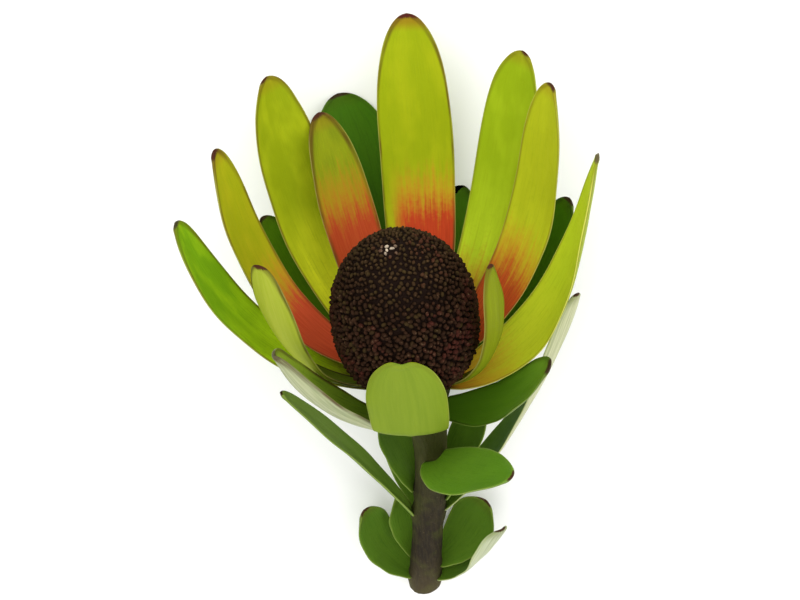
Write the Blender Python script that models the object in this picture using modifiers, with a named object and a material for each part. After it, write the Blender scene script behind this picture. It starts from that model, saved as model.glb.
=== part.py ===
# A conebush flower head on a short cut stem, lying on its back.
# Every piece is shaped about the head's own axis in millimetres (x to the right,
# y towards the back, z up the axis), then the whole is laid down.
import bpy
import bmesh
from math import cos, pi, radians, sin, sqrt
from mathutils import Matrix, Vector

# Pose. The axis rises by LIE_ANGLE degrees from the ground towards the tip of the head.
# The rest pieces touch the ground, each with a small flat spot.
LIE_ANGLE = 22.7
CONTACT_DEPTH = 0.12
REST_PIECES = ("stem", "outer_1", "outer_2")
GROUND_WIDTH = 300.0
GROUND_DEPTH = 20.0

# Stem: how far its centre line wanders to the right, and its radius, by height.
STEM_PATH = ((0.0, 0.0), (-12.0, 1.2), (-22.0, 1.9), (-38.0, 0.9), (-53.0, -1.0), (-80.0, -4.4))
STEM_RADIUS = ((0.0, 8.8), (-2.0, 8.6), (-5.0, 7.9), (-8.0, 6.9), (-11.5, 5.7), (-15.0, 4.9),
               (-26.0, 4.0), (-50.0, 3.8), (-79.4, 3.8), (-80.0, 3.4))
STEM_RINGS = (0.0, -1.0, -2.0, -3.5, -5.0, -6.5, -8.0, -10.0, -12.0, -15.0, -19.0, -24.0, -30.0,
              -37.0, -44.0, -51.0, -58.0, -65.0, -72.0, -79.4, -80.0)
STEM_SIDES = 24

# Cone of florets: height and radius down its side, and the florets raised as low pyramids,
# by a share of their own size.
CONE_PROFILE = ((39.6, 1.0), (38.9, 3.3), (37.3, 6.6), (34.3, 10.0), (30.2, 12.8), (25.5, 14.7),
                (19.5, 15.6), (13.0, 15.5), (8.0, 14.4), (4.0, 12.0), (1.6, 9.6), (0.3, 8.4))
CONE_TOP = 39.9
CONE_BOTTOM = 0.3
FLORETS_AROUND = 26
FLORET_ROWS = 21
FLORET_RISE = 0.4
LOWEST_FLORET = 2.0

# Blades: rows along and columns across, with the rows crowded towards the tip, thickness,
# half the width of the tip, the clearance from the stem, how far above its midrib a foot
# reaches, and the share of the length over which the cup changes.
BLADE_ROWS = 13
BLADE_COLUMNS = 4
ROW_CROWDING = 1.45
MIDRIB_STEPS = 240
BLADE_THICKNESS = 0.8
TIP_HALF_WIDTH = 0.7
BLADE_GAP = 0.34
FOOT_RISE = 0.9
CUP_REACH = 0.35

# How each blade is bent unless its own entry says otherwise. Angles in degrees:
# around (0 faces the front, positive to the right), out and up (lean from the axis at
# the foot and at the tip), turn (how early it straightens), fold (instead of turn: the
# share of the length at which it bends, and half the share over which it does), drift
# (change of around), twist (at the foot, then what is added to the tip), cup (at the foot,
# then further up).
BLADE = {
    "around": 0.0, "foot": -2.0, "length": 70.0, "width": 15.0, "out": 72.0, "up": 12.0,
    "turn": 2.2, "fold": None, "drift": 0.0, "twist": (0.0, 0.0), "cup": (40.0, 28.0), "narrow": 0.36,
    "swell": 0.6, "widest": 0.58, "blunt": 2.0,
}

# Coloured bracts that ring the cone.
BRACTS = {
    "bract_1": {"around": 169.0, "foot": -6.2, "length": 84.5, "width": 18.0, "up": 11.0, "blunt": 2.8},
    "bract_2": {"around": 136.0, "foot": -3.4, "length": 78.0, "width": 17.0, "out": 76.0, "up": 11.0,
                "blunt": 2.4},
    "bract_3": {"around": 116.0, "foot": -1.2, "length": 75.5, "width": 15.5, "out": 74.0, "up": 6.0,
                "blunt": 2.3},
    "bract_4": {"around": 88.0, "foot": -4.6, "length": 76.0, "width": 13.6, "out": 78.0, "up": 9.0,
                "turn": 2.4, "twist": (30.0, -42.0), "widest": 0.42},
    "bract_5": {"around": -147.6, "foot": -3.6, "length": 76.6, "width": 17.0, "out": 76.0, "up": 8.4,
                "blunt": 2.5},
    "bract_6": {"around": -161.6, "foot": -1.2, "length": 59.0, "width": 13.2, "up": 20.5,
                "turn": 3.0, "blunt": 2.5},
    "bract_7": {"around": -112.5, "foot": -1.2, "length": 73.0, "width": 15.0, "out": 79.0, "up": 2.4,
                "turn": 2.3, "twist": (14.0, -20.0), "widest": 0.5},
    "bract_8": {"around": -98.0, "foot": -5.4, "length": 70.4, "width": 13.4, "out": 77.0, "up": 8.0,
                "turn": 1.55, "twist": (12.0, -30.0), "narrow": 0.3, "swell": 0.9, "widest": 0.5},
    "bract_9": {"around": -86.8, "foot": -2.0, "length": 51.8, "width": 12.0, "out": 86.0, "up": 0.5,
                "turn": 2.35, "twist": (18.0, 34.0), "narrow": 0.24, "swell": 1.0},
    "bract_10": {"around": -8.6, "foot": -3.2, "length": 32.3, "width": 18.0, "out": 92.0, "up": -1.0,
                 "fold": (0.25, 0.08), "cup": (16.0, 14.0), "narrow": 0.7},
    "bract_11": {"around": 62.0, "foot": -1.2, "length": 45.0, "width": 7.0, "out": 63.0, "up": -3.0,
                 "turn": 2.3, "twist": (-15.0, -5.0)},
}

# Green bracts behind and below the coloured ones.
OUTERS = {
    "outer_1": {"around": -174.0, "foot": -9.0, "length": 70.0, "width": 21.0, "out": 80.0, "up": 26.0,
                "turn": 2.0, "drift": 10.0, "blunt": 3.2},
    "outer_2": {"around": 159.5, "foot": -11.6, "length": 49.0, "out": 80.0, "up": 46.0, "turn": 2.0},
    "outer_3": {"around": -134.0, "foot": -12.6, "length": 55.2, "out": 80.0, "up": 25.0, "turn": 2.0},
    "outer_4": {"around": 116.5, "foot": -9.0, "length": 54.2, "out": 80.0, "up": 22.0, "turn": 1.5},
    "outer_5": {"around": -62.5, "foot": -15.8, "length": 53.0, "width": 17.0, "out": 57.0,
                "up": 12.0, "turn": 1.1, "twist": (1.0, -2.0), "cup": (34.0, 62.0),
                "narrow": 0.36, "swell": 1.0},
    "outer_6": {"around": 62.0, "foot": -11.6, "length": 36.5, "width": 14.0, "out": 82.0, "up": 27.0,
                "turn": 1.6, "twist": (8.0, 0.0)},
}

# Leaves up the stem.
LEAVES = {
    "leaf_1": {"around": 100.0, "foot": -50.0, "length": 71.0, "width": 12.0, "out": 48.0, "up": 14.0,
               "turn": 1.0, "twist": (0.0, -60.0)},
    "leaf_2": {"around": 100.0, "foot": -44.0, "length": 27.0, "out": 23.0, "up": 27.0, "turn": 1.4,
               "narrow": 0.45},
    "leaf_3": {"around": -88.0, "foot": -50.0, "length": 56.0, "width": 7.6, "out": 22.0, "up": 30.0,
               "turn": 1.5},
    "leaf_4": {"around": 12.0, "foot": -27.4, "length": 47.0, "width": 15.4, "out": 55.0, "up": 47.0,
               "turn": 1.4, "drift": 27.0, "twist": (15.0, 0.0), "widest": 0.5, "blunt": 1.5},
    "leaf_5": {"around": -128.0, "foot": -42.0, "length": 27.0, "width": 15.5, "out": 12.0, "up": 16.0,
               "turn": 1.4},
    "leaf_6": {"around": -105.0, "foot": -75.0, "length": 26.0, "width": 13.0, "out": 52.0, "up": 5.0,
               "turn": 2.0, "twist": (0.0, -30.0)},
    "leaf_7": {"around": -158.0, "foot": -71.0, "length": 20.0, "width": 12.0, "out": 16.0, "up": 8.0,
               "turn": 1.4},
    "leaf_8": {"around": 104.0, "foot": -72.0, "length": 22.0, "width": 14.5, "out": 68.0, "up": 24.0,
               "turn": 2.0, "twist": (0.0, 30.0)},
    "leaf_9": {"around": 80.0, "foot": -76.0, "length": 25.5, "width": 12.0, "out": 72.0, "up": 20.0,
               "turn": 1.4, "twist": (0.0, -50.0)},
    "leaf_10": {"around": 180.0, "foot": -19.5, "length": 28.0, "out": 74.0, "up": 60.0, "turn": 1.4},
    "leaf_11": {"around": -170.0, "foot": -52.0, "length": 34.0, "out": 30.0, "up": 18.0, "turn": 1.4},
}

MATERIALS = {
    "bract": ((0.42, 0.47, 0.03), 0.55),
    "outer": ((0.07, 0.19, 0.02), 0.55),
    "leaf": ((0.06, 0.16, 0.02), 0.55),
    "stem": ((0.035, 0.022, 0.014), 0.8),
    "cone": ((0.028, 0.012, 0.009), 0.7),
}


def clear_scene():
    for obj in list(bpy.data.objects):
        bpy.data.objects.remove(obj, do_unlink=True)


def make_collection(name):
    made = bpy.data.collections.new(name)
    bpy.context.scene.collection.children.link(made)
    return made


def make_material(name, colour, roughness):
    material = bpy.data.materials.new(name)
    material.use_nodes = True
    shader = material.node_tree.nodes["Principled BSDF"]
    shader.inputs["Base Color"].default_value = (*colour, 1.0)
    shader.inputs["Roughness"].default_value = roughness
    shader.inputs["Metallic"].default_value = 0.0
    material.diffuse_color = (*colour, 1.0)
    return material


def clamp(value, low=0.0, high=1.0):
    return max(low, min(high, value))


def table_value(table, z):
    """Value at height z of a table that runs downwards."""
    if z >= table[0][0]:
        return table[0][1]
    for (z1, v1), (z2, v2) in zip(table, table[1:]):
        if z >= z2:
            return v1 + (v2 - v1) * (z1 - z) / (z1 - z2)
    return table[-1][1]


def smooth_value(table, z):
    """The same, eased between the points by a cubic."""
    zs = [row[0] for row in table]
    vs = [row[1] for row in table]
    if z >= zs[0]:
        return vs[0]
    if z <= zs[-1]:
        return vs[-1]
    i = next(k for k in range(len(zs) - 1) if z >= zs[k + 1])
    slope = []
    for k in (i, i + 1):
        a = max(k - 1, 0)
        b = min(k + 1, len(zs) - 1)
        slope.append((vs[b] - vs[a]) / (zs[b] - zs[a]))
    h = zs[i + 1] - zs[i]
    t = (z - zs[i]) / h
    return ((2 * t ** 3 - 3 * t * t + 1) * vs[i] + (t ** 3 - 2 * t * t + t) * h * slope[0]
            + (3 * t * t - 2 * t ** 3) * vs[i + 1] + (t ** 3 - t * t) * h * slope[1])


def outward(around):
    a = radians(around)
    return Vector((sin(a), -cos(a), 0.0))


def sideways(around):
    a = radians(around)
    return Vector((cos(a), sin(a), 0.0))


def lean_share(shape, t):
    """1 at the foot and 0 at the tip, by a gradual bend or by a fold."""
    if shape["fold"] is None:
        return (1 - t) ** shape["turn"]
    place, reach = shape["fold"]
    share = clamp((t - place + reach) / (2 * reach))
    return 1 - share * share * (3 - 2 * share)


def blade_frames(shape):
    """Points down the midrib with the directions along, across and towards the axis."""
    frames = []
    foot = shape["foot"]
    out = radians(shape["out"])
    reach = table_value(STEM_RADIUS, foot + FOOT_RISE * sin(out))
    reach += BLADE_GAP + BLADE_THICKNESS / 2 * cos(out)
    point = outward(shape["around"]) * reach + Vector((smooth_value(STEM_PATH, foot), 0.0, foot))
    step = shape["length"] / MIDRIB_STEPS
    before = None
    for i in range(MIDRIB_STEPS + 1):
        t = i / MIDRIB_STEPS
        lean = radians(shape["up"] + (shape["out"] - shape["up"]) * lean_share(shape, t))
        around = shape["around"] + shape["drift"] * t
        along = Vector((0.0, 0.0, cos(lean))) + outward(around) * sin(lean)
        if before is not None:
            point = point + (along + before) * (step / 2)
        before = along
        across = sideways(around)
        across = (across - along * across.dot(along)).normalized()
        inward = along.cross(across)
        twist = radians(shape["twist"][0] + shape["twist"][1] * t)
        turned = across * cos(twist) + inward * sin(twist)
        inward = inward * cos(twist) - across * sin(twist)
        frames.append((t, point.copy(), turned, inward))
    return frames


def half_width(shape, t):
    widest = shape["widest"]
    if t < widest:
        rise = sin(pi / 2 * t / widest) ** shape["swell"] if t > 0 else 0.0
        share = shape["narrow"] + (1 - shape["narrow"]) * rise
    else:
        share = sqrt(max(0.0, 1 - ((t - widest) / (1 - widest)) ** shape["blunt"]))
    return max(shape["width"] / 2 * share, TIP_HALF_WIDTH)


def blade_point(shape, frame, s):
    t, point, across, inward = frame
    foot_cup, far_cup = shape["cup"]
    cup = radians(foot_cup + (far_cup - foot_cup) * clamp(t / CUP_REACH))
    half = half_width(shape, t)
    return (point + across * (half / cup * sin(cup * s))
            + inward * (half / cup * (1 - cos(cup * s))))


def row_place(row):
    """Share of the length at which a row lies."""
    return 1 - (1 - row / BLADE_ROWS) ** ROW_CROWDING


def lay_down():
    return Matrix.Rotation(-radians(90.0 - LIE_ANGLE), 4, "X") @ Matrix.Scale(0.001, 4)


def add_object(name, bm, material, collection):
    bmesh.ops.transform(bm, matrix=lay_down(), verts=bm.verts)
    mesh = bpy.data.meshes.new(name)
    bm.to_mesh(mesh)
    bm.free()
    mesh.materials.append(material)
    obj = bpy.data.objects.new(name, mesh)
    collection.objects.link(obj)
    return obj


def make_blade(name, own, material, collection):
    shape = {**BLADE, **own}
    frames = blade_frames(shape)
    bm = bmesh.new()
    bmesh.ops.create_grid(bm, x_segments=BLADE_COLUMNS, y_segments=BLADE_ROWS, size=1.0)
    for vert in bm.verts:
        row = round((vert.co.y + 1) / 2 * BLADE_ROWS)
        frame = frames[round(row_place(row) * MIDRIB_STEPS)]
        vert.co = blade_point(shape, frame, vert.co.x)
    bmesh.ops.triangulate(bm, faces=bm.faces)
    bmesh.ops.recalc_face_normals(bm, faces=bm.faces)
    obj = add_object(name, bm, material, collection)
    thick = obj.modifiers.new("thickness", "SOLIDIFY")
    thick.thickness = BLADE_THICKNESS / 1000
    thick.offset = 0.0
    return obj


def turn_profile(bm, profile, sides):
    """Spins a profile of (height, radius) about the axis; it starts and ends on it."""
    verts = [bm.verts.new((radius, 0.0, z)) for z, radius in profile]
    edges = [bm.edges.new(pair) for pair in zip(verts, verts[1:])]
    bmesh.ops.spin(bm, geom=verts + edges, axis=(0, 0, 1), cent=(0, 0, 0), angle=2 * pi,
                   steps=sides, use_merge=True)
    bmesh.ops.remove_doubles(bm, verts=bm.verts, dist=0.001)
    bmesh.ops.recalc_face_normals(bm, faces=bm.faces)


def make_stem(material, collection):
    profile = [(STEM_RINGS[0], 0.0)]
    profile += [(z, smooth_value(STEM_RADIUS, z)) for z in STEM_RINGS]
    profile.append((STEM_RINGS[-1], 0.0))
    bm = bmesh.new()
    turn_profile(bm, profile, STEM_SIDES)
    for vert in bm.verts:
        vert.co.x += smooth_value(STEM_PATH, vert.co.z)
    bmesh.ops.triangulate(bm, faces=bm.faces)
    return add_object("stem", bm, material, collection)


def cone_outline():
    """Evenly spaced (height, radius) points down the side of the cone."""
    fine = []
    steps = 12
    points = CONE_PROFILE
    for i in range(len(points) - 1):
        p0 = points[max(i - 1, 0)]
        p1 = points[i]
        p2 = points[i + 1]
        p3 = points[min(i + 2, len(points) - 1)]
        for k in range(steps):
            t = k / steps
            fine.append(tuple(
                0.5 * (2 * p1[a] + (p2[a] - p0[a]) * t
                       + (2 * p0[a] - 5 * p1[a] + 4 * p2[a] - p3[a]) * t * t
                       + (3 * p1[a] - p0[a] - 3 * p2[a] + p3[a]) * t ** 3)
                for a in (0, 1)))
    fine.append(points[-1])
    lengths = [0.0]
    for a, b in zip(fine, fine[1:]):
        lengths.append(lengths[-1] + sqrt((a[0] - b[0]) ** 2 + (a[1] - b[1]) ** 2))
    rows = []
    for k in range(FLORET_ROWS + 1):
        want = lengths[-1] * k / FLORET_ROWS
        i = min(next(j for j, reach in enumerate(lengths) if reach >= want - 1e-9), len(fine) - 1)
        rows.append(fine[i])
    return rows


def make_cone(material, collection):
    """A turned cone whose rings each turn by half a floret more, so that the raised florets
    lie in spirals."""
    rows = cone_outline()
    bm = bmesh.new()
    turn_profile(bm, [(CONE_TOP, 0.0), *rows, (CONE_BOTTOM, 0.0)], FLORETS_AROUND)
    for vert in bm.verts:
        row = min(range(len(rows)), key=lambda k: abs(rows[k][0] - vert.co.z))
        vert.co.rotate(Matrix.Rotation(row * pi / FLORETS_AROUND, 3, "Z"))
    bm.normal_update()
    florets = [face for face in bm.faces
               if len(face.verts) == 4 and face.calc_center_median().z > LOWEST_FLORET]
    bmesh.ops.poke(bm, faces=florets, offset=FLORET_RISE, use_relative_offset=True)
    bmesh.ops.triangulate(bm, faces=bm.faces)
    return add_object("cone", bm, material, collection)


def evaluated_points(obj, graph):
    evaluated = obj.evaluated_get(graph)
    mesh = evaluated.to_mesh()
    points = [evaluated.matrix_world @ vert.co for vert in mesh.vertices]
    evaluated.to_mesh_clear()
    return points


def settle(pieces, helpers):
    """Moves everything so that the three rest pieces reach just below z = 0, cuts them flat
    there, and centres the object over the origin."""
    bpy.context.view_layer.update()
    graph = bpy.context.evaluated_depsgraph_get()
    points = {obj.name: evaluated_points(obj, graph) for obj in pieces}
    lows = {name: min(p.z for p in points[name]) for name in REST_PIECES}
    ground = max(lows.values()) + CONTACT_DEPTH / 1000
    everything = [p for group in points.values() for p in group]
    middle_x = (min(p.x for p in everything) + max(p.x for p in everything)) / 2
    middle_y = (min(p.y for p in everything) + max(p.y for p in everything)) / 2
    move = Matrix.Translation((-middle_x, -middle_y, -ground))
    for obj in pieces:
        obj.data.transform(move)
    cut_flat([obj for obj in pieces if obj.name in REST_PIECES], helpers)


def cut_flat(pieces, helpers):
    wide = GROUND_WIDTH / 1000
    deep = GROUND_DEPTH / 1000
    block = Matrix.Translation((0, 0, -deep / 2)) @ Matrix.Diagonal((wide, wide, deep, 1.0))
    bm = bmesh.new()
    bmesh.ops.create_cube(bm, size=1.0, matrix=block)
    mesh = bpy.data.meshes.new("ground_cutter")
    bm.to_mesh(mesh)
    bm.free()
    cutter = bpy.data.objects.new("ground_cutter", mesh)
    helpers.objects.link(cutter)
    cutter.hide_render = True
    cutter.display_type = "WIRE"
    for obj in pieces:
        cut = obj.modifiers.new("flat spot", "BOOLEAN")
        cut.operation = "DIFFERENCE"
        cut.solver = "EXACT"
        cut.object = cutter


def main():
    clear_scene()
    collection = make_collection("conebush")
    helpers = make_collection("cutters")
    materials = {name: make_material(name, *look) for name, look in MATERIALS.items()}
    pieces = [make_stem(materials["stem"], collection), make_cone(materials["cone"], collection)]
    for kind, table in (("bract", BRACTS), ("outer", OUTERS), ("leaf", LEAVES)):
        for name, own in table.items():
            pieces.append(make_blade(name, own, materials[kind], collection))
    settle(pieces, helpers)


main()
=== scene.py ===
import random
from math import cos, exp, pi, radians, sin, sqrt, tau

import bmesh
import bpy
from mathutils import Matrix, Quaternion, Vector, noise


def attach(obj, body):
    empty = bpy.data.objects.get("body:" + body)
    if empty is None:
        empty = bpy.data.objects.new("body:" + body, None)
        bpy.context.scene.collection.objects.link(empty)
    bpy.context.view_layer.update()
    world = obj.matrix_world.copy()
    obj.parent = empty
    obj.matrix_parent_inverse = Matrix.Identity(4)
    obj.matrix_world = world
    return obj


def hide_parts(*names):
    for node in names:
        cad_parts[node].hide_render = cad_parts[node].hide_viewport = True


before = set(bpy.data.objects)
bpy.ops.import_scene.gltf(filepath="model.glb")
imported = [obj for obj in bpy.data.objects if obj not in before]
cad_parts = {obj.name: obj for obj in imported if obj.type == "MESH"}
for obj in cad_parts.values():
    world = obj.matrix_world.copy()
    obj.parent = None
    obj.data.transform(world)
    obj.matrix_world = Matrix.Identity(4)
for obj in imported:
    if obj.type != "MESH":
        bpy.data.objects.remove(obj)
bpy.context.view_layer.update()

scene = bpy.context.scene
scene.view_settings.view_transform = "Standard"
print("frame loaded:", len(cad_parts), "nodes")

# Every piece is shaped about the head's own axis in millimetres: x to the right, y to the
# back, z up the axis. toFrame lays it down where the frame has it, by the cone's top point.
layDown = {"rise": 22.7, "coneTop": 39.9}
toFrame = Matrix.Rotation(-radians(90 - layDown["rise"]), 4, "X") @ Matrix.Scale(0.001, 4)
conePoints = [toFrame.inverted() @ vert.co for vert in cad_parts["cone"].data.vertices]
highest = max(conePoints, key=lambda point: point.z)
toFrame = toFrame @ Matrix.Translation(highest - Vector((0, 0, layDown["coneTop"])))


def clamp(value, low=0.0, high=1.0):
    return max(low, min(high, value))


def easeStep(low, high, value):
    share = clamp((value - low) / (high - low))
    return share * share * (3 - 2 * share)


def easedValue(table, z):  # a cubic through a table that runs downwards
    if z >= table[0][0]:
        return table[0][1]
    if z <= table[-1][0]:
        return table[-1][1]
    i = next(k for k in range(len(table) - 1) if z >= table[k + 1][0])
    slopes = []
    for k in (i, i + 1):
        before = table[max(k - 1, 0)]
        after = table[min(k + 1, len(table) - 1)]
        slopes.append((after[1] - before[1]) / (after[0] - before[0]))
    (z1, v1), (z2, v2) = table[i], table[i + 1]
    gap = z2 - z1
    t = (z - z1) / gap
    return ((2 * t ** 3 - 3 * t * t + 1) * v1 + (t ** 3 - 2 * t * t + t) * gap * slopes[0]
            + (3 * t * t - 2 * t ** 3) * v2 + (t ** 3 - t * t) * gap * slopes[1])


def outward(around):
    return Vector((sin(radians(around)), -cos(radians(around)), 0.0))


def sideways(around):
    return Vector((cos(radians(around)), sin(radians(around)), 0.0))


def colour(red, green, blue):  # screen values from 0 to 255, made linear
    linear = [(v / 255 / 12.92) if v <= 10 else ((v / 255 + 0.055) / 1.055) ** 2.4
              for v in (red, green, blue)]
    return (*linear, 1.0)


# A wire is one output of a node. Maths on wires adds Math nodes.
class Wire:
    def __init__(self, paint, socket):
        self.paint = paint
        self.socket = socket

    def __add__(self, other):
        return self.paint.maths("ADD", self, other)

    def __radd__(self, other):
        return self.paint.maths("ADD", other, self)

    def __sub__(self, other):
        return self.paint.maths("SUBTRACT", self, other)

    def __rsub__(self, other):
        return self.paint.maths("SUBTRACT", other, self)

    def __mul__(self, other):
        return self.paint.maths("MULTIPLY", self, other)

    def __rmul__(self, other):
        return self.paint.maths("MULTIPLY", other, self)


class Paint:
    def __init__(self, name, specular):
        self.material = bpy.data.materials.new(name)
        self.material.use_nodes = True
        self.nodes = self.material.node_tree.nodes
        self.links = self.material.node_tree.links
        self.shader = self.nodes["Principled BSDF"]
        self.shader.inputs["Specular IOR Level"].default_value = specular

    def feed(self, socket, value):
        if isinstance(value, Wire):
            self.links.new(value.socket, socket)
        else:
            socket.default_value = value

    # one node: its settings first, then the values or wires of its sockets
    def node(self, kind, settings, inputs, output=0):
        made = self.nodes.new(kind)
        for key, value in settings.items():
            setattr(made, key, value)
        for key, value in inputs.items():
            self.feed(made.inputs[key], value)
        return Wire(self, made.outputs[output])

    def maths(self, operation, first, second=0.0):
        return self.node("ShaderNodeMath", {"operation": operation}, {0: first, 1: second})

    def mix(self, share, first, second):  # sockets 6 and 7 and output 2 are the colours
        return self.node("ShaderNodeMix", {"data_type": "RGBA"}, {0: share, 6: first, 7: second}, 2)

    def step(self, value, low, high):  # eases from 0 to 1 as value goes from low to high
        settings = {"interpolation_type": "SMOOTHSTEP"}
        return self.node("ShaderNodeMapRange", settings, {0: value, 1: low, 2: high})

    def spot(self):
        return self.node("ShaderNodeTexCoord", {}, {}, "Object")

    def field(self, name):
        return self.node("ShaderNodeAttribute", {"attribute_name": name}, {}, "Fac")

    def place(self, x, y, z):
        return self.node("ShaderNodeCombineXYZ", {}, {0: x, 1: y, 2: z})

    def grain(self, place, scale, detail=2.0, rough=0.5):
        inputs = {"Vector": place, "Scale": scale, "Detail": detail, "Roughness": rough}
        return self.node("ShaderNodeTexNoise", {}, inputs)

    # roughness is a number or a wire, height a wire and depth how high it stands in metres
    def finish(self, base, roughness, height=None, depth=None):
        self.feed(self.shader.inputs["Base Color"], base)
        self.feed(self.shader.inputs["Roughness"], roughness)
        if height is not None:
            bump = self.node("ShaderNodeBump", {}, {"Strength": 1.0, "Distance": depth,
                                                    "Height": height})
            self.feed(self.shader.inputs["Normal"], bump)
        return self.material


def addPiece(name, bm, paint, node):
    bmesh.ops.transform(bm, matrix=toFrame, verts=bm.verts)
    for vert in bm.verts:
        vert.co.z = max(vert.co.z, 0.0)  # nothing goes below the floor
    for face in bm.faces:
        face.smooth = True
    mesh = bpy.data.meshes.new(name)
    bm.to_mesh(mesh)
    bm.free()
    mesh.materials.append(paint)
    piece = bpy.data.objects.new(name, mesh)
    scene.collection.objects.link(piece)
    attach(piece, "root")
    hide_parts(node)
    return piece


# The camera looks at the head as the photograph does. Lengths are in millimetres.
camera = {
    "tilt": 45.0,  # degrees above the plane across the head's axis
    "lean": 8.0,  # degrees by which the head leans in the picture
    "distance": 420.0,
    "aim": (0.0, 0.0, 17.0), "aimPixel": (405, 318),  # a point and the pixel that shows it
    "pixel": 0.22,  # how wide a pixel is at that point
    "imageSize": (800, 600), "sensorWidth": 36.0, "clipStart": 10.0,
}


def addCamera():
    imageWidth, imageHeight = camera["imageSize"]
    tilt = radians(camera["tilt"])
    lean = radians(camera["lean"])
    back = Vector((0, -cos(tilt), sin(tilt)))
    level = Vector((1, 0, 0))
    rise = Vector((0, sin(tilt), cos(tilt)))
    right = level * cos(lean) - rise * sin(lean)
    up = level * sin(lean) + rise * cos(lean)
    aimX, aimY = camera["aimPixel"]
    target = Vector(camera["aim"]) + right * (imageWidth / 2 - aimX) * camera["pixel"]
    target += up * (aimY - imageHeight / 2) * camera["pixel"]
    turn = toFrame.to_3x3().normalized()
    axes = Matrix([turn @ axis for axis in (right, up, back)]).transposed()
    data = bpy.data.cameras.new("camera")
    data.sensor_width = camera["sensorWidth"]
    data.lens = camera["distance"] / camera["pixel"] / imageWidth * camera["sensorWidth"]
    data.clip_start = camera["clipStart"] / 1000
    holder = bpy.data.objects.new("camera", data)
    holder.matrix_world = (Matrix.Translation(toFrame @ (target + back * camera["distance"]))
                           @ axes.to_4x4())
    scene.collection.objects.link(holder)
    scene.camera = holder


# Soft boxes, aimed at lightsAim: where each stands in metres, its side and its power in watts.
lights = {
    "key": {"at": (-0.22, 0.38, 0.55), "side": 0.60, "power": 2.8},
    "fill": {"at": (0.42, 0.30, 0.45), "side": 0.70, "power": 2.2},
    "low": {"at": (0.00, -0.45, 0.50), "side": 0.60, "power": 1.2},
}
lightsAim = (0.0, 0.02, 0.035)
surroundings = {
    "light": 0.80, "floor": (247, 247, 245), "floorSize": 6.0,
    "patches": 3.0, "patchShade": 0.985,  # how fine the floor's patches are, and their shade
    "roughness": 0.85, "specular": 0.1,
}


def addLights():
    for name, light in lights.items():
        data = bpy.data.lights.new(name, "AREA")
        data.size = light["side"]
        data.energy = light["power"]
        holder = bpy.data.objects.new(name, data)
        holder.location = Vector(light["at"])
        holder.rotation_euler = (holder.location - Vector(lightsAim)).to_track_quat("Z", "Y").to_euler()
        scene.collection.objects.link(holder)
    world = bpy.data.worlds.new("studio")
    world.use_nodes = True
    background = world.node_tree.nodes["Background"]
    background.inputs["Color"].default_value = (1, 1, 1, 1)
    background.inputs["Strength"].default_value = surroundings["light"]
    scene.world = world


def addFloor():
    paint = Paint("paleFloor", surroundings["specular"])
    tone = paint.grain(paint.spot(), surroundings["patches"])
    pale = colour(*surroundings["floor"])
    darker = (*[v * surroundings["patchShade"] for v in pale[:3]], 1.0)
    bm = bmesh.new()
    bmesh.ops.create_grid(bm, x_segments=1, y_segments=1, size=surroundings["floorSize"] / 2)
    mesh = bpy.data.meshes.new("floor")
    bm.to_mesh(mesh)
    bm.free()
    paint.finish(paint.mix(tone, pale, darker), surroundings["roughness"])
    mesh.materials.append(paint.material)
    floor = bpy.data.objects.new("floor", mesh)
    scene.collection.objects.link(floor)


addCamera()
addLights()
addFloor()
print("camera, lights and floor ready")

stem = {
    # by height down the axis: how far its middle lies to the right, then its radius
    "course": ((0.0, 0.0), (-12.0, 1.2), (-22.0, 1.9), (-38.0, 0.9), (-53.0, -1.0), (-80.0, -4.4)),
    "radius": ((0.0, 8.8), (-2.0, 8.6), (-5.0, 7.9), (-8.0, 6.9), (-11.5, 5.7), (-15.0, 4.9),
               (-26.0, 4.0), (-50.0, 3.8), (-79.4, 3.8), (-80.0, 3.4)),
    "length": 80.0, "rings": 150, "sides": 72,
    "cutRings": (0.0, 0.3, 0.55, 0.75, 0.9),  # rings of the cut end, by share of its radius
    "ridges": 0.16,  # height of the bark's ridges
    # two sizes of ridge: how often round the stem and along it, a shift, and the share
    "ridgeSizes": ((4, 0.12, 0, 1.0), (9, 0.4, 9, 0.5)),
    # the swelling under each foot lower than cushionsBelow
    "cushion": 0.7, "cushionWide": 2.6, "cushionLong": 2.4, "cushionDrop": 1.2,
    "cushionsBelow": -15.0,
    "bark": (48, 40, 22), "barkDark": (32, 25, 14), "barkPale": (96, 84, 56), "barkGreen": (70, 76, 18),
    # green fades out and pale comes in between these distances down the stem
    "greenFades": (22.0, 52.0), "greenShare": 0.5, "paleGrows": (62.0, 80.0), "paleShare": 0.35,
    "patchShare": 0.5, "speckShare": 0.5, "cushionGreen": 0.6,
    "wood": (196, 176, 128), "pith": (150, 122, 78), "rind": (92, 98, 48), "woodVaries": 0.5,
    # on the cut: from which radius to which each gives way to the next
    "pithEdge": (0.6, 1.0), "woodEdge": (2.75, 3.0), "rindEdge": (3.1, 3.3),
    "cutStarts": 0.25, "cutFull": 0.05,  # how near the end the cut's colours come in
    "fibres": 1.6, "fibresLong": 0.16, "patches": 0.16, "specks": 2.2,  # how fine the grains are
    "roughness": 0.8, "specular": 0.2, "relief": 0.0004,
}

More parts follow.
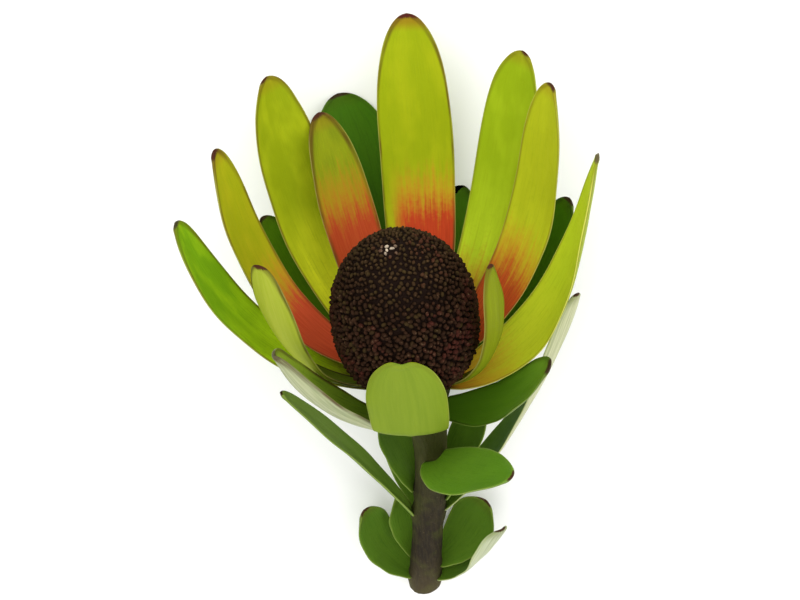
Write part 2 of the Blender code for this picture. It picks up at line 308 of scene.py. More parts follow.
# How a blade bends unless its own entry says otherwise. Angles are in degrees.
bladeShape = {
    "around": 0.0,  # 0 is the front, positive to the right
    "foot": -2.0, "length": 70.0, "width": 15.0,
    "out": 72.0, "up": 12.0,  # lean from the axis at the foot and at the tip
    "turn": 2.2,  # how early it straightens
    "fold": None,  # instead of turn: where it bends, and half the stretch that does, as shares
    "drift": 0.0,  # change of around
    "twist": (0.0, 0.0), "cup": (40.0, 28.0),  # twist at the foot and added, cup at foot and beyond
    "narrow": 0.36, "swell": 0.6,  # width at the foot as a share, and how late it widens
    "widest": 0.58, "blunt": 2.0,  # where it is widest, and how full the tip is
    "skew": 0.0, "notch": 0.0,  # how far the tip lies to the side, and sinks in the middle
    "wave": 0.22,  # how far the margin waves
}

# How every blade is built. Lengths are in millimetres.
bladeBuild = {
    "around": 44, "rows": 66, "crowding": 1.5, "steps": 240,  # rows crowd towards the tip
    "thickness": 0.72, "edge": 5,  # the higher edge is, the later the margin thins
    "tipThins": 1.2, "tipThinnest": 0.12,  # the tip thins over this length, to this share
    "footRise": 0.9, "footGap": 0.34,  # how high a foot reaches, and how far off the stem
    "sunk": 1.2, "sunkReach": 3.0,  # then its end is sunk into the bark
    "cupReach": 0.35,  # the share of the length over which the cup changes
    "rib": 0.16, "ribWide": 0.7, "ribFades": 12.0,  # a ridge on the outer face
    "ribInside": 0.6,  # and a shallower groove on the inner face
    "callus": 0.5, "callusAt": 0.8,  # how much thicker the tip is, and how far back
    "skewReach": 9.0, "notchReach": 4.0,  # how far back from the tip
    "notchWide": 1.6,
    "waves": (9, 21), "secondWave": 0.6,  # radians of two waves along the blade
    "wavesGrow": (0.1, 0.4),  # shares of the length between which they grow
    "rimSoft": 0.12,  # how softly the inner face gives way to the outer
    "leastHalf": 0.06, "merge": 0.004,
}


def leanShare(shape, t):  # 1 at the foot and 0 at the tip
    if shape["fold"] is None:
        return (1 - t) ** shape["turn"]
    place, reach = shape["fold"]
    return 1 - easeStep(place - reach, place + reach, t)


# The midrib, step by step: each place with its directions along, across and inward.
def bladeFrames(shape):
    frames = []
    foot = shape["foot"]
    out = radians(shape["out"])
    reach = easedValue(stem["radius"], foot + bladeBuild["footRise"] * sin(out))
    reach += bladeBuild["footGap"] + bladeBuild["thickness"] / 2 * cos(out)
    point = outward(shape["around"]) * reach
    point += Vector((easedValue(stem["course"], foot), 0.0, foot))
    stride = shape["length"] / bladeBuild["steps"]
    before = None
    for i in range(bladeBuild["steps"] + 1):
        t = i / bladeBuild["steps"]
        lean = radians(shape["up"] + (shape["out"] - shape["up"]) * leanShare(shape, t))
        around = shape["around"] + shape["drift"] * t
        along = Vector((0.0, 0.0, cos(lean))) + outward(around) * sin(lean)
        if before is not None:
            point = point + (along + before) * (stride / 2)
        before = along
        across = sideways(around)
        across = (across - along * across.dot(along)).normalized()
        inward = along.cross(across)
        twist = radians(shape["twist"][0] + shape["twist"][1] * t)
        turned = across * cos(twist) + inward * sin(twist)
        inward = inward * cos(twist) - across * sin(twist)
        frames.append((point.copy(), along, turned, inward))
    return frames


def halfWidth(shape, t):
    widest = shape["widest"]
    if t < widest:
        rise = sin(pi / 2 * t / widest) ** shape["swell"] if t > 0 else 0.0
        share = shape["narrow"] + (1 - shape["narrow"]) * rise
    else:
        share = sqrt(max(0.0, 1 - ((t - widest) / (1 - widest)) ** shape["blunt"]))
    return max(shape["width"] / 2 * share, bladeBuild["leastHalf"])


def widening(shape, t):  # how much the half width grows for each millimetre of length
    nudge = 0.01
    change = halfWidth(shape, min(t + nudge, 1.0)) - halfWidth(shape, max(t - nudge, 0.0))
    return change / (2 * nudge * shape["length"])


# A blade is a grid wrapped into a flat tube: its inner face from margin to margin, then its
# outer face. It carries its place on the blade as fields, which the paint reads.
def makeBlade(shape, seed):
    build = bladeBuild
    frames = bladeFrames(shape)
    draw = random.Random(seed)
    phases = [draw.uniform(0, tau) for _ in build["waves"]]
    bm = bmesh.new()
    bmesh.ops.create_grid(bm, x_segments=build["around"], y_segments=build["rows"], size=1.0)
    fields = {key: bm.verts.layers.float.new(key)
              for key in ("along", "ahead", "across", "margin", "inner")}
    length = shape["length"]
    cupFoot, cupFar = shape["cup"]
    for vert in bm.verts:
        turn = pi * (vert.co.x + 1)
        t = 1 - (1 - (vert.co.y + 1) / 2) ** build["crowding"]
        s = cos(turn)  # -1 and 1 are the margins
        face = sin(turn)  # positive on the inner face
        step = t * build["steps"]
        low = min(int(step), build["steps"] - 1)
        mixed = step - low
        point, along, across, inward = [a.lerp(b, mixed)
                                        for a, b in zip(frames[low], frames[low + 1])]
        half = halfWidth(shape, t)
        cup = radians(cupFoot + (cupFar - cupFoot) * clamp(t / build["cupReach"]))
        spread = half / cup * sin(cup * s)
        hollow = half / cup * (1 - cos(cup * s))
        normal = inward * cos(cup * s) - across * sin(cup * s)
        ahead = (1 - t) * length
        margin = half * (1 - abs(s)) / sqrt(1 + widening(shape, t) ** 2)
        tipping = easeStep(build["skewReach"], 0.0, ahead)
        place = point + across * (spread + shape["skew"] * tipping) + inward * hollow
        notch = exp(-(spread / build["notchWide"]) ** 2) * easeStep(build["notchReach"], 0.0, ahead)
        place -= along * shape["notch"] * notch
        place -= along * build["sunk"] * easeStep(build["sunkReach"], 0.0, t * length)
        wave = sin(t * build["waves"][0] + phases[0])
        wave += build["secondWave"] * sin(t * build["waves"][1] + phases[1] + 2 * s)
        place += normal * shape["wave"] * wave * abs(s) ** 3 * easeStep(*build["wavesGrow"], t)
        thick = build["thickness"] / 2 * sqrt(max(0.0, 1 - abs(s) ** build["edge"]))
        thick *= clamp(sqrt(ahead / build["tipThins"]), build["tipThinnest"], 1.0)
        thick *= 1 + build["callus"] * exp(-((ahead - build["callusAt"]) / build["callusAt"]) ** 2)
        rib = build["rib"] * exp(-(spread / build["ribWide"]) ** 2)
        rib *= easeStep(0.0, build["ribFades"], ahead)
        if face > 0:
            place += normal * (thick - rib * build["ribInside"])
        else:
            place -= normal * (thick + rib)
        vert.co = place
        vert[fields["along"]] = t * length
        vert[fields["ahead"]] = ahead
        vert[fields["across"]] = s
        vert[fields["margin"]] = min(margin, ahead)
        vert[fields["inner"]] = 0.5 + 0.5 * clamp(face / build["rimSoft"], -1.0, 1.0)
    bmesh.ops.remove_doubles(bm, verts=bm.verts, dist=build["merge"])
    bmesh.ops.holes_fill(bm, edges=bm.edges, sides=build["around"] + 2)
    bmesh.ops.recalc_face_normals(bm, faces=bm.faces)
    return bm


# Colours of a blade as screen values, and lengths in millimetres.
bladeLook = {
    "high": (164, 182, 14), "low": (186, 190, 26),  # inner face near the tip and near the foot
    "lowEnds": 16.0, "highStarts": 62.0, "lowWanders": 20.0,
    "back": (150, 164, 40), "vein": (136, 154, 12),
    "veinShare": 0.4, "mottleShare": 0.25, "blotch": 0.14,
    "red": (186, 70, 34), "redDark": (160, 54, 26), "glow": (196, 136, 34),
    "redTo": 0.0, "redSoft": 9.0,  # how far up the red foot reaches, and how softly it ends
    "redStreaks": 18.0, "redMottle": 6.0,  # how unevenly it ends
    "redAt": 0.0, "redWide": 2.0, "redEdge": 0.25,  # where across the blade it lies, how wide
    "redShare": 0.95, "redDarkShare": 0.8, "glowShare": 0.7,
    "rim": (196, 192, 110), "rimShare": 0.3,  # the pale hairline on the margin
    "rimReach": (0.06, 0.22), "rimStarts": 8.0,  # how far in, and how far from the tip
    "line": (86, 62, 16), "lineShare": 0.75, "lineWide": 0.8,  # the dark line inside it
    "lineNarrows": (4.0, 18.0),  # between these distances from the tip
    "tip": (66, 32, 16), "tipLong": 1.2, "tipSide": 0.0,  # the callus, and the margin it is near
    "tipGlow": (150, 104, 22), "tipShare": 0.3, "tipFades": (0.5, 3.5),  # the flush round it
    "roughness": 0.5, "roughnessVaries": 0.16, "relief": 0.00012,
    "specular": 0.1, "softness": 0.12, "softReach": 0.0012, "softColour": (1.0, 0.9, 0.3),
}

# Grains that vary a blade: how often across and along it, a shift, scale, detail, roughness.
bladeGrains = {
    "broad": (3.0, 0.06, 0.0, 1.0, 2.0, 0.5),
    "streak": (9.0, 0.05, 3.0, 1.0, 3.0, 0.6),
    "fine": (26.0, 0.12, 7.0, 1.0, 2.0, 0.5),
    "mottle": (6.0, 0.8, 11.0, 1.5, 3.0, 0.6),
    "blotch": (1.6, 0.09, 17.0, 1.0, 2.0, 0.5),
}


def bladePaint(name, look, seed):
    paint = Paint(name, look["specular"])
    paint.shader.inputs["Subsurface Weight"].default_value = look["softness"]
    paint.shader.inputs["Subsurface Scale"].default_value = look["softReach"]
    paint.shader.inputs["Subsurface Radius"].default_value = look["softColour"]
    along = paint.field("along")
    ahead = paint.field("ahead")
    across = paint.field("across")
    margin = paint.field("margin")
    inner = paint.field("inner")
    broad, streak, fine, mottle, blotch = [
        paint.grain(paint.place(across * overWidth, along * overLength, seed + shift), *settings)
        for overWidth, overLength, shift, *settings in bladeGrains.values()]

    # the inner face, with its veins, mottling and blotches
    upper = paint.step(along + broad * look["lowWanders"], look["lowEnds"], look["highStarts"])
    face = paint.mix(upper, colour(*look["low"]), colour(*look["high"]))
    veins = paint.step(fine, 0.5, 0.72) * look["veinShare"]
    face = paint.mix(veins, face, colour(*look["vein"]))
    mottled = paint.step(mottle, 0.5, 0.8) * look["mottleShare"]
    face = paint.mix(mottled, face, colour(*look["vein"]))
    face = paint.mix(paint.step(blotch, 0.42, 0.68) * look["blotch"], face, colour(*look["low"]))
    if look["redTo"] > 0:
        # the red foot and the glow above it
        off = paint.maths("ABSOLUTE", across - look["redAt"]) + (streak - 0.5) * 0.5
        inside = 1 - paint.step(off, look["redWide"] - look["redEdge"],
                                look["redWide"] + look["redEdge"])
        top = along - (streak - 0.5) * look["redStreaks"] - (mottle - 0.5) * look["redMottle"]
        glow = (1 - paint.step(top, look["redTo"] - 2.0, look["redTo"] + look["redSoft"])) * inside
        body = (1 - paint.step(top, look["redTo"] - look["redSoft"], look["redTo"] + 1.0)) * inside
        face = paint.mix(glow * look["glowShare"], face, colour(*look["glow"]))
        red = paint.mix(paint.step(fine, 0.3, 0.75) * look["redDarkShare"], colour(*look["red"]),
                        colour(*look["redDark"]))
        face = paint.mix(body * look["redShare"], face, red)
    back = paint.mix(paint.step(streak, 0.35, 0.7) * look["veinShare"], colour(*look["back"]),
                     colour(*look["vein"]))
    base = paint.mix(inner, back, face)

    # the flush round the tip, then the dark line, the pale rim and the callus
    tipStarts, tipEnds = [look["tipLong"] + further for further in look["tipFades"]]
    nearTip = 1 - paint.step(ahead + (fine - 0.5) * 1.6, tipStarts, tipEnds)
    base = paint.mix(nearTip * look["tipShare"], base, colour(*look["tipGlow"]))
    narrowed = 0.6 + paint.step(ahead, *look["lineNarrows"]) * 0.4
    wander = (margin + (broad - 0.5) * 0.3) * narrowed
    line = (1 - paint.step(wander, look["lineWide"] * 0.3, look["lineWide"])) * look["lineShare"]
    line = line * (0.45 + paint.step(blotch + streak * 0.5, 0.55, 0.9) * 0.55)
    base = paint.mix(line, base, colour(*look["line"]))
    rim = 1 - paint.step(margin, *look["rimReach"])
    rim = rim * paint.step(ahead, look["tipLong"], look["rimStarts"])
    base = paint.mix(rim * look["rimShare"], base, colour(*look["rim"]))
    beyond = ahead + (mottle - 0.5) * 0.9 + (1 - across * look["tipSide"]) * abs(look["tipSide"])
    dark = 1 - paint.step(beyond, look["tipLong"] * 0.6, look["tipLong"] * 1.1)
    base = paint.mix(dark, base, colour(*look["tip"]))
    height = fine * 0.5 + mottle * 0.3
    roughness = look["roughness"] + mottle * look["roughnessVaries"]
    return paint.finish(base, roughness, height, look["relief"])


# One piece for each entry. Its look is the common one, then its kind's, then its own.
def growBlades(blades, kindLook):
    for number, (node, own) in enumerate(blades.items()):
        shape = {**bladeShape, **own["shape"]}
        look = {**bladeLook, **kindLook, **own.get("look", {})}
        seed = sum(ord(letter) for letter in node) + number
        paint = bladePaint(node + "Paint", look, seed)
        addPiece(node + "_blade", makeBlade(shape, seed), paint, node)


bracts = {
    "bract_1": {
        "shape": {"around": 169.0, "foot": -6.2, "length": 84.5, "width": 18.0, "up": 11.0,
                  "blunt": 2.8},
        "look": {"high": (150, 164, 10), "low": (216, 212, 32), "redTo": 41.0, "redSoft": 8.0,
                 "redAt": -0.25, "redWide": 0.9, "red": (200, 62, 34), "redDark": (178, 50, 28),
                 "tipShare": 0.7, "tip": (74, 26, 14), "tipLong": 1.0, "lineShare": 0.9}},
    "bract_2": {
        "shape": {"around": 136.0, "foot": -3.4, "length": 78.0, "width": 17.0, "out": 76.0,
                  "up": 11.0, "blunt": 2.4, "skew": -0.4},
        # Its foot colour low is its own yellow, painted lighter as painted light against the shade by
        # the cone.
        "look": {"high": (142, 166, 14), "low": (206, 230, 46), "redTo": 20.0, "lineShare": 0.5,
                 "tipSide": -0.7}},
    "bract_3": {
        "shape": {"around": 116.0, "foot": -1.2, "length": 75.5, "width": 15.5, "out": 74.0,
                  "up": 6.0, "blunt": 2.3},
        "look": {"high": (166, 174, 24), "low": (202, 212, 38), "redTo": 30.0, "red": (200, 80, 34),
                 "lineShare": 0.5, "tipSide": -0.4}},
    "bract_4": {
        "shape": {"around": 88.0, "foot": -4.6, "length": 76.0, "width": 13.6, "out": 78.0,
                  "up": 9.0, "turn": 2.4, "twist": (30.0, -42.0), "widest": 0.42},
        "look": {"high": (168, 188, 30), "low": (186, 194, 36), "redTo": 6.0, "redSoft": 14.0,
                 "tip": (88, 80, 48), "tipShare": 0.0, "lineShare": 0.45, "rimShare": 0.7,
                 "rim": (208, 208, 96)}},
    "bract_5": {
        "shape": {"around": -147.6, "foot": -3.6, "length": 76.6, "width": 17.0, "out": 76.0,
                  "up": 8.4, "blunt": 2.5, "skew": -0.6},
        # Its foot colour low is its own yellow, painted lighter as painted light against the shade by
        # the cone.
        "look": {"high": (140, 154, 10), "low": (234, 238, 42), "redTo": 9.0, "tipSide": 0.7}},
    "bract_6": {
        "shape": {"around": -161.6, "foot": -1.2, "length": 59.0, "width": 13.2, "up": 20.5,
                  "turn": 3.0, "blunt": 2.5},
        "look": {"high": (120, 132, 14), "redTo": 39.0, "lineShare": 0.95, "lineWide": 1.1,
                 "red": (184, 72, 38), "redDark": (172, 54, 28), "glow": (176, 118, 28), "tipSide": 0.6,
                 "tipLong": 1.8}},
    "bract_7": {
        "shape": {"around": -112.5, "foot": -1.2, "length": 73.0, "out": 79.0, "up": 2.4,
                  "turn": 2.3, "twist": (14.0, -20.0), "widest": 0.5},
        # Its foot colours low, red, redDark and glow are its own, painted lighter as painted light
        # against the shade by the cone.
        "look": {"high": (156, 160, 16), "low": (208, 186, 36), "redTo": 31.0, "lineWide": 1.0,
                 "red": (224, 88, 56), "redDark": (206, 68, 44), "glow": (214, 150, 44),
                 "tipSide": 0.6, "tipLong": 1.8}},
    "bract_8": {
        "shape": {"around": -98.0, "foot": -5.4, "length": 70.4, "width": 13.4, "out": 77.0,
                  "up": 8.0, "turn": 1.55, "twist": (12.0, -30.0), "narrow": 0.3, "swell": 0.9,
                  "widest": 0.5},
        # Its foot colour low is its own yellow-green, painted lighter as painted light against the
        # shade by the cone.
        "look": {"high": (112, 154, 14), "low": (212, 244, 34), "vein": (92, 138, 14),
                 "redTo": 13.0, "red": (112, 104, 26), "redDark": (84, 80, 20), "glow": (150, 160, 30),
                 "tipShare": 0.0, "tipSide": 0.4, "tip": (58, 54, 30)}},
    "bract_9": {
        "shape": {"around": -86.8, "length": 51.8, "width": 12.0, "out": 86.0,
                  "up": 0.5, "turn": 2.35, "twist": (18.0, 34.0), "narrow": 0.24, "swell": 1.0},
        "look": {"back": (160, 170, 52), "low": (96, 112, 26), "line": (62, 40, 14),
                 "lineShare": 0.9, "tipShare": 0.0, "tipLong": 0.9}},
    "bract_10": {
        "shape": {"around": -8.6, "foot": -3.2, "length": 32.3, "width": 18.0, "out": 92.0,
                  "up": -1.0, "fold": (0.25, 0.08), "cup": (16.0, 14.0), "narrow": 0.7,
                  "notch": 0.9},
        "look": {"back": (120, 140, 34), "vein": (102, 126, 24), "lineShare": 0.2, "rimShare": 0.5,
                 "rim": (164, 178, 84), "tipLong": 0.3, "tipShare": 0.0, "tip": (110, 132, 34)}},
    "bract_11": {
        "shape": {"around": 62.0, "foot": -1.2, "length": 45.0, "width": 7.0, "out": 63.0,
                  "up": -3.0, "turn": 2.3, "twist": (-15.0, -5.0)},
        "look": {"back": (118, 128, 14), "high": (126, 136, 16), "low": (140, 144, 22),
                 "tipShare": 0.0, "tipLong": 0.8}},
}
growBlades(bracts, {})
print("bracts ready")

outers = {
    "outer_1": {
        "shape": {"around": -174.0, "foot": -9.0, "width": 21.0, "out": 80.0, "up": 26.0,
                  "turn": 2.0, "drift": 10.0, "blunt": 3.2}},
    "outer_2": {
        "shape": {"around": 159.5, "foot": -11.6, "length": 49.0, "out": 80.0, "up": 46.0,
                  "turn": 2.0}},
    "outer_3": {
        "shape": {"around": -134.0, "foot": -12.6, "length": 55.2, "out": 80.0, "up": 25.0,
                  "turn": 2.0},
        "look": {"high": (78, 118, 8), "low": (86, 120, 14)}},
    "outer_4": {
        "shape": {"around": 116.5, "foot": -9.0, "length": 54.2, "out": 80.0, "up": 22.0,
                  "turn": 1.5}},
    "outer_5": {
        "shape": {"around": -62.5, "foot": -15.8, "length": 53.0, "width": 17.0, "out": 57.0,
                  "turn": 1.1, "twist": (1.0, -2.0), "cup": (34.0, 62.0), "swell": 1.0},
        # Its silvery back is partly its own colour and partly painted sheen; its inner face is painted
        # lighter, as painted light against the shade in its cup.
        "look": {"back": (176, 180, 140), "high": (146, 172, 48), "low": (112, 140, 34),
                 "line": (74, 50, 22), "lineShare": 0.9, "lineWide": 0.9, "tip": (84, 78, 52),
                 "tipLong": 0.6}},
    "outer_6": {
        "shape": {"around": 62.0, "foot": -11.6, "length": 36.5, "width": 14.0, "out": 82.0,
                  "up": 27.0, "turn": 1.6, "twist": (8.0, 0.0)},
        "look": {"high": (108, 150, 36), "low": (70, 108, 14), "vein": (72, 114, 16)}},
}
outerLook = {"high": (64, 108, 8), "low": (76, 110, 14), "back": (116, 138, 62),
             "vein": (48, 86, 6), "lineShare": 0.5, "line": (40, 44, 10),
             "rim": (116, 134, 56), "tip": (48, 34, 14), "tipLong": 0.9, "tipGlow": (70, 84, 16)}
growBlades(outers, outerLook)
print("outer bracts ready")

leaves = {
    "leaf_1": {
        "shape": {"around": 100.0, "foot": -50.0, "length": 71.0, "width": 12.0, "out": 48.0,
                  "up": 14.0, "turn": 1.0, "twist": (0.0, -60.0)},
        "look": {"back": (196, 198, 158)}},
    "leaf_2": {
        "shape": {"around": 100.0, "foot": -44.0, "length": 27.0, "out": 23.0, "up": 27.0,
                  "turn": 1.4, "narrow": 0.45}},
    "leaf_3": {
        "shape": {"around": -88.0, "foot": -50.0, "length": 56.0, "width": 7.6, "out": 22.0,
                  "up": 30.0, "turn": 1.5},
        "look": {"high": (140, 168, 80), "low": (100, 132, 40), "vein": (108, 138, 52)}},
    "leaf_4": {
        "shape": {"around": 12.0, "foot": -27.4, "length": 47.0, "width": 15.4, "out": 55.0,
                  "up": 47.0, "turn": 1.4, "drift": 27.0, "twist": (15.0, 0.0), "widest": 0.5,
                  "blunt": 1.5},
        "look": {"high": (80, 124, 18), "low": (98, 140, 28), "vein": (60, 106, 12),
                 "tipShare": 0.0}},
    "leaf_5": {
        "shape": {"around": -128.0, "foot": -42.0, "length": 27.0, "width": 15.5, "out": 12.0,
                  "up": 16.0, "turn": 1.4}},
    "leaf_6": {
        "shape": {"around": -105.0, "foot": -75.0, "length": 26.0, "width": 13.0, "out": 52.0,
                  "up": 5.0, "turn": 2.0, "twist": (0.0, -30.0)}},
    "leaf_7": {
        "shape": {"around": -158.0, "foot": -71.0, "length": 20.0, "width": 12.0, "out": 16.0,
                  "up": 8.0, "turn": 1.4}},
    "leaf_8": {
        "shape": {"around": 104.0, "foot": -72.0, "length": 22.0, "width": 14.5, "out": 68.0,
                  "up": 24.0, "turn": 2.0, "twist": (0.0, 30.0)}},
    "leaf_9": {
        "shape": {"around": 80.0, "foot": -76.0, "length": 25.5, "width": 12.0, "up": 20.0,
                  "turn": 1.4, "twist": (0.0, -50.0)},
        "look": {"back": (188, 194, 160)}},
    "leaf_10": {
        "shape": {"around": 180.0, "foot": -19.5, "length": 28.0, "out": 74.0, "up": 60.0,
                  "turn": 1.4}},
    "leaf_11": {
        "shape": {"around": -170.0, "foot": -52.0, "length": 34.0, "out": 30.0, "up": 18.0,
                  "turn": 1.4}},
}
leafLook = {"high": (66, 104, 18), "low": (84, 118, 28), "back": (108, 132, 62),
            "vein": (52, 84, 12), "lineShare": 0.3, "line": (120, 138, 54), "lineWide": 0.6,
            "rim": (150, 162, 84), "tip": (60, 36, 16), "tipLong": 0.6, "tipGlow": (90, 92, 24)}
growBlades(leaves, leafLook)
print("leaves ready")


# The stem is a turned profile, roughened by ridges of bark, with cushions under the lower feet.
def makeStem():
    bm = bmesh.new()
    bottom = -stem["length"]
    cutRadius = stem["radius"][-1][1]
    verts = [bm.verts.new((cutRadius * share, 0.0, bottom)) for share in stem["cutRings"]]
    for k in range(stem["rings"] + 1):
        z = bottom * (1 - k / stem["rings"])
        verts.append(bm.verts.new((easedValue(stem["radius"], z), 0.0, z)))
    verts.append(bm.verts.new((0.0, 0.0, 0.0)))
    edges = [bm.edges.new(pair) for pair in zip(verts, verts[1:])]
    bmesh.ops.spin(bm, geom=verts + edges, axis=(0, 0, 1), cent=(0, 0, 0), angle=tau,
                   steps=stem["sides"], use_merge=True)
    bmesh.ops.remove_doubles(bm, verts=bm.verts, dist=0.001)
    bmesh.ops.recalc_face_normals(bm, faces=bm.faces)
    shapes = [{**bladeShape, **own["shape"]} for kind in (bracts, outers, leaves)
              for own in kind.values()]
    feet = [(outward(shape["around"]), shape["foot"]) for shape in shapes
            if shape["foot"] < stem["cushionsBelow"]]
    fields = {key: bm.verts.layers.float.new(key) for key in ("along", "radius", "cushion")}
    for vert in bm.verts:
        z = vert.co.z
        radius = sqrt(vert.co.x ** 2 + vert.co.y ** 2)
        vert[fields["along"]] = -z
        vert[fields["radius"]] = radius
        if bottom < z < 0:  # both ends stay plain
            away = Vector((vert.co.x, vert.co.y, 0)) / radius
            rough = sum(share * noise.noise(Vector((away.x * often, away.y * often, z * down + shift)))
                        for often, down, shift, share in stem["ridgeSizes"])
            swell = 0.0
            for direction, foot in feet:
                side = (away - direction).length * radius / stem["cushionWide"]
                below = (z - foot + stem["cushionDrop"]) / stem["cushionLong"]
                swell = max(swell, exp(-side ** 2 - below ** 2))
            vert[fields["cushion"]] = swell
            vert.co += away * (stem["ridges"] * rough + stem["cushion"] * swell)
        vert.co.x += easedValue(stem["course"], z)
    return bm


def stemPaint():
    paint = Paint("barkPaint", stem["specular"])
    # turned back to the stem's own axis, in millimetres
    turned = paint.node("ShaderNodeMapping", {}, {
        "Vector": paint.spot(), "Rotation": (radians(90 - layDown["rise"]), 0.0, 0.0),
        "Scale": (1000.0, 1000.0, 1000.0)})
    drawn = paint.node("ShaderNodeVectorMath", {"operation": "MULTIPLY"},
                       {0: turned, 1: (1.0, 1.0, stem["fibresLong"])})  # drawn out along the stem
    fibre = paint.grain(drawn, stem["fibres"], 4.0, 0.6)
    patch = paint.grain(turned, stem["patches"])
    speck = paint.grain(turned, stem["specks"])
    along = paint.field("along")
    radius = paint.field("radius")
    cushion = paint.field("cushion")
    green = colour(*stem["barkGreen"])
    pale = colour(*stem["barkPale"])
    pith = colour(*stem["pith"])
    base = paint.mix(paint.step(fibre, 0.35, 0.7), colour(*stem["barkDark"]), colour(*stem["bark"]))
    base = paint.mix(paint.step(patch, 0.5, 0.75) * stem["patchShare"], base, green)
    base = paint.mix(paint.step(speck, 0.62, 0.75) * stem["speckShare"], base, pale)
    young = (1 - paint.step(along, *stem["greenFades"])) * stem["greenShare"]
    base = paint.mix(paint.maths("MAXIMUM", cushion * stem["cushionGreen"], young), base, green)
    base = paint.mix(paint.step(along, *stem["paleGrows"]) * stem["paleShare"], base, pale)
    varied = paint.step(speck, 0.3, 0.7) * stem["woodVaries"]
    wood = paint.mix(varied, colour(*stem["wood"]), pith)
    wood = paint.mix(paint.step(radius, *stem["pithEdge"]), pith, wood)
    wood = paint.mix(paint.step(radius, *stem["woodEdge"]), wood, colour(*stem["rind"]))
    wood = paint.mix(paint.step(radius, *stem["rindEdge"]), wood, colour(*stem["bark"]))
    cut = paint.step(along, stem["length"] - stem["cutStarts"], stem["length"] - stem["cutFull"])
    return paint.finish(paint.mix(cut, base, wood), stem["roughness"], fibre, stem["relief"])


addPiece("bark", makeStem(), stemPaint(), "stem")
print("stem ready")

# The cone: florets set in a spiral over a turned core, each a bud that leans to the top.
cone = {
    # height and radius down the side
    "profile": ((39.6, 1.0), (38.9, 3.3), (37.3, 6.6), (34.3, 10.0), (30.2, 12.8), (25.5, 14.7),
                (19.5, 15.6), (13.0, 15.5), (8.0, 14.4), (4.0, 12.0), (1.6, 9.6), (0.3, 8.4)),
    "profileSteps": 16, "coreStep": 3, "coreShare": 0.985, "coreSides": 48,
    "florets": 2650, "budSides": 7, "budRings": 5, "seed": 5,
    "size": 1.45, "sizeVaries": (0.75, 1.25), "oval": 0.72,
    "height": 1.0, "heightVaries": (0.7, 1.4), "stands": 0.75, "proud": 0.05,
    "pinch": 0.12,  # how much a bud narrows to its top
    "apexShare": 0.74, "apexEnds": 0.35,  # size of the top buds, and the share of all till it ends
    "lean": 0.45, "leanVaries": 0.35,
    "stray": 0.24,  # how far buds sit off the spiral
    "deep": (22, 11, 6), "shell": (50, 31, 18),  # painted shade between the buds, and the colour of their heads
    "crown": (92, 74, 44), "crownShare": 0.45, "crownGrows": (30.0, 40.0),
    "ruddy": (68, 27, 22), "ruddyShare": 0.6, "olive": (74, 62, 28), "oliveShare": 0.32,
    "oliveLeftOf": 4.0, "oliveAbove": 28.0,  # where more of the heads are olive
    "pale": (104, 84, 62), "paleShare": 0.6,  # pale flecks on the bud tops: painted highlights
    # glint is a painted highlight: pale buds round glintAt, brightest at its middle
    "glint": (206, 190, 166), "glintAt": (-1.4, -1.2, 39.0), "glintReach": 2.0, "glintTone": 1.5,
    "patches": 130.0, "specks": 1600.0,  # how fine the grains are
    "roughness": 0.7, "specular": 0.05, "relief": 0.0003,
}
goldenAngle = pi * (3 - sqrt(5))


def coneSide():  # fine (radius, height) points down the side, with the area gathered so far
    points = [(0.0, layDown["coneTop"])]
    rows = cone["profile"]
    for i in range(len(rows) - 1):
        p = [rows[max(i - 1, 0)], rows[i], rows[i + 1], rows[min(i + 2, len(rows) - 1)]]
        for k in range(cone["profileSteps"]):
            t = k / cone["profileSteps"]
            z, radius = [0.5 * (2 * p[1][a] + (p[2][a] - p[0][a]) * t
                                + (2 * p[0][a] - 5 * p[1][a] + 4 * p[2][a] - p[3][a]) * t * t
                                + (3 * p[1][a] - p[0][a] - 3 * p[2][a] + p[3][a]) * t ** 3)
                         for a in (0, 1)]
            points.append((radius, z))
    points.append((rows[-1][1], rows[-1][0]))
    area = [0.0]
    for (r1, z1), (r2, z2) in zip(points, points[1:]):
        area.append(area[-1] + pi * (r1 + r2) * sqrt((r1 - r2) ** 2 + (z1 - z2) ** 2))
    return points, area


def addCore(bm, points):
    core = [bm.verts.new((radius * cone["coreShare"], 0.0, z))
            for radius, z in points[::cone["coreStep"]]]
    core.append(bm.verts.new((0.0, 0.0, points[-1][1])))
    edges = [bm.edges.new(pair) for pair in zip(core, core[1:])]
    bmesh.ops.spin(bm, geom=core + edges, axis=(0, 0, 1), cent=(0, 0, 0), angle=tau,
                   steps=cone["coreSides"], use_merge=True)
    bmesh.ops.remove_doubles(bm, verts=bm.verts, dist=0.001)
    bmesh.ops.recalc_face_normals(bm, faces=bm.faces)


# Every bud starts as the same small sphere: an Array makes the copies, all in one place.
def addBuds(bm):
    single = bmesh.new()
    bmesh.ops.create_uvsphere(single, u_segments=cone["budSides"], v_segments=cone["budRings"],
                              radius=1.0)
    count = len(single.verts)
    mesh = bpy.data.meshes.new("bud")
    single.to_mesh(mesh)
    single.free()
    holder = bpy.data.objects.new("bud", mesh)
    scene.collection.objects.link(holder)
    copies = holder.modifiers.new("copies", "ARRAY")
    copies.count = cone["florets"]
    copies.use_relative_offset = False
    bpy.context.view_layer.update()
    bm.from_mesh(holder.evaluated_get(bpy.context.evaluated_depsgraph_get()).to_mesh())
    bpy.data.objects.remove(holder)
    return count


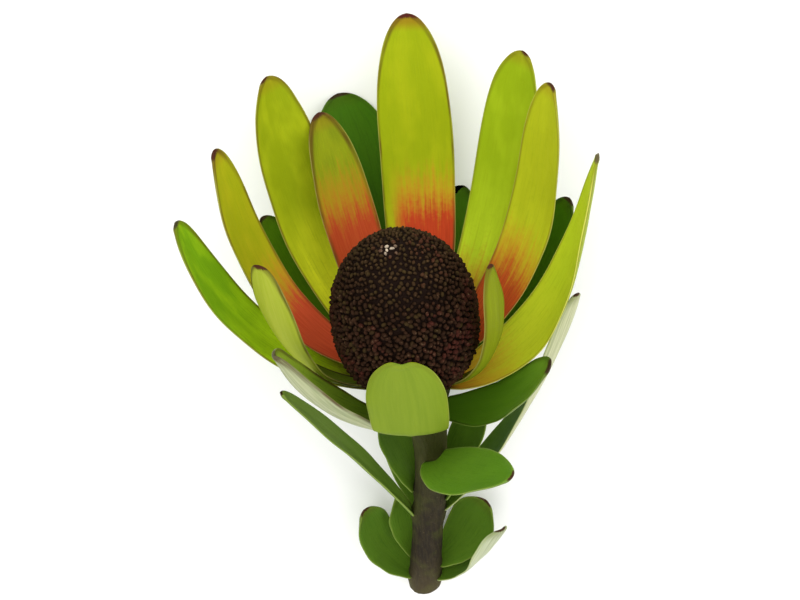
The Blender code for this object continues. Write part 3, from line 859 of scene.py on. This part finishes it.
# Equal shares of the side's area, a golden angle apart, each with a bud's turn, size and tone.
def budPlaces(points, area):
    draw = random.Random(cone["seed"])
    places = []
    k = 0
    for i in range(cone["florets"]):
        want = area[-1] * (i + 0.5) / cone["florets"]
        while area[k + 1] < want:
            k += 1
        share = (want - area[k]) / (area[k + 1] - area[k])
        (r1, z1), (r2, z2) = points[k], points[k + 1]
        angle = i * goldenAngle
        away = Vector((cos(angle), sin(angle), 0.0))
        side = Vector((-sin(angle), cos(angle), 0.0))
        down = (away * (r2 - r1) + Vector((0, 0, z2 - z1))).normalized()
        normal = side.cross(down).normalized()
        if normal.dot(away) + normal.z < 0:
            normal.negate()
        varies = cone["leanVaries"]
        lean = (normal - down * (cone["lean"] + draw.uniform(-varies, varies))
                + side * draw.uniform(-varies, varies)).normalized()
        grown = easeStep(0, cone["apexEnds"], i / cone["florets"])
        grown = cone["apexShare"] + (1 - cone["apexShare"]) * grown
        wide = cone["size"] * grown * draw.uniform(*cone["sizeVaries"])
        tall = cone["height"] * grown * draw.uniform(*cone["heightVaries"])
        seat = away * (r1 + (r2 - r1) * share) + Vector((0, 0, z1 + (z2 - z1) * share))
        seat += (side * draw.gauss(0, 1) + down * draw.gauss(0, 1)) * cone["stray"] * grown
        tone = draw.random()
        if seat.x < cone["oliveLeftOf"] and seat.z > cone["oliveAbove"]:
            tone = abs(tone - 0.3) * 0.8  # low tones are the olive ones
        # buds round glintAt get tones above glintTone, for the painted highlight
        glint = 1 - (seat - Vector(cone["glintAt"])).length / cone["glintReach"]
        if glint > 0:
            tone = cone["glintTone"] + glint
        turn = lean.to_track_quat("Z", "Y") @ Quaternion((0, 0, 1), draw.uniform(0, pi))
        places.append((seat + normal * cone["proud"], turn, wide, tall, tone))
    return places


def makeCone():
    points, area = coneSide()
    bm = bmesh.new()
    count = addBuds(bm)
    places = budPlaces(points, area)
    rise = bm.verts.layers.float.new("rise")
    hue = bm.verts.layers.float.new("hue")
    crown = bm.verts.layers.float.new("crown")
    bm.verts.index_update()
    for vert in bm.verts:
        seat, turn, wide, tall, tone = places[vert.index // count]
        level = (vert.co.z + 1) / 2  # 0 at a bud's base and 1 at its top
        pinch = 1 - cone["pinch"] * level ** 3
        vert[rise] = level
        vert[hue] = tone
        vert[crown] = easeStep(*cone["crownGrows"], seat.z)
        broad = wide / 2 * pinch
        local = Vector((vert.co.x * broad, vert.co.y * broad * cone["oval"],
                        vert.co.z * tall * cone["stands"]))
        vert.co = seat + turn @ local
    core = bmesh.new()
    addCore(core, points)
    mesh = bpy.data.meshes.new("core")
    core.to_mesh(mesh)
    core.free()
    bm.from_mesh(mesh)
    bpy.data.meshes.remove(mesh)
    return bm


def conePaint():
    paint = Paint("floretPaint", cone["specular"])
    rise = paint.field("rise")
    hue = paint.field("hue")
    spot = paint.spot()
    patch = paint.grain(spot, cone["patches"], 3.0, 0.6)
    speck = paint.grain(spot, cone["specks"], 3.0, 0.6)
    crown = paint.field("crown") * cone["crownShare"]
    shell = paint.mix(crown, colour(*cone["shell"]), colour(*cone["crown"]))
    # each bud fades to the dark colour towards its foot: painted shade between the buds
    head = paint.step(rise + (speck - 0.5) * 0.8, 0.3, 0.95) * (0.4 + hue * 0.6)
    base = paint.mix(head, colour(*cone["deep"]), shell)
    ruddy = paint.step(patch + (hue - 0.5) * 0.25, 0.5, 0.72) * paint.step(rise, 0.3, 0.9)
    base = paint.mix(ruddy * cone["ruddyShare"], base, colour(*cone["ruddy"]))
    olive = (1 - paint.step(hue + patch * 0.4, 0.2, 0.4)) * paint.step(rise, 0.4, 0.95)
    base = paint.mix(olive * cone["oliveShare"], base, colour(*cone["olive"]))
    # pale flecks on the bud tops: painted highlights
    pale = paint.step(speck + hue * 0.1, 0.62, 0.8) * paint.step(rise, 0.6, 1.0)
    base = paint.mix(pale * cone["paleShare"], base, colour(*cone["pale"]))
    # the glint: a painted highlight on the buds round glintAt
    glint = paint.step(hue + (speck - 0.5) * 0.8, cone["glintTone"], 2.4)
    glint = glint * paint.step(rise, 0.3, 0.8)
    base = paint.mix(glint, base, colour(*cone["glint"]))
    return paint.finish(base, cone["roughness"], speck, cone["relief"])


addPiece("florets", makeCone(), conePaint(), "cone")
print("cone ready")
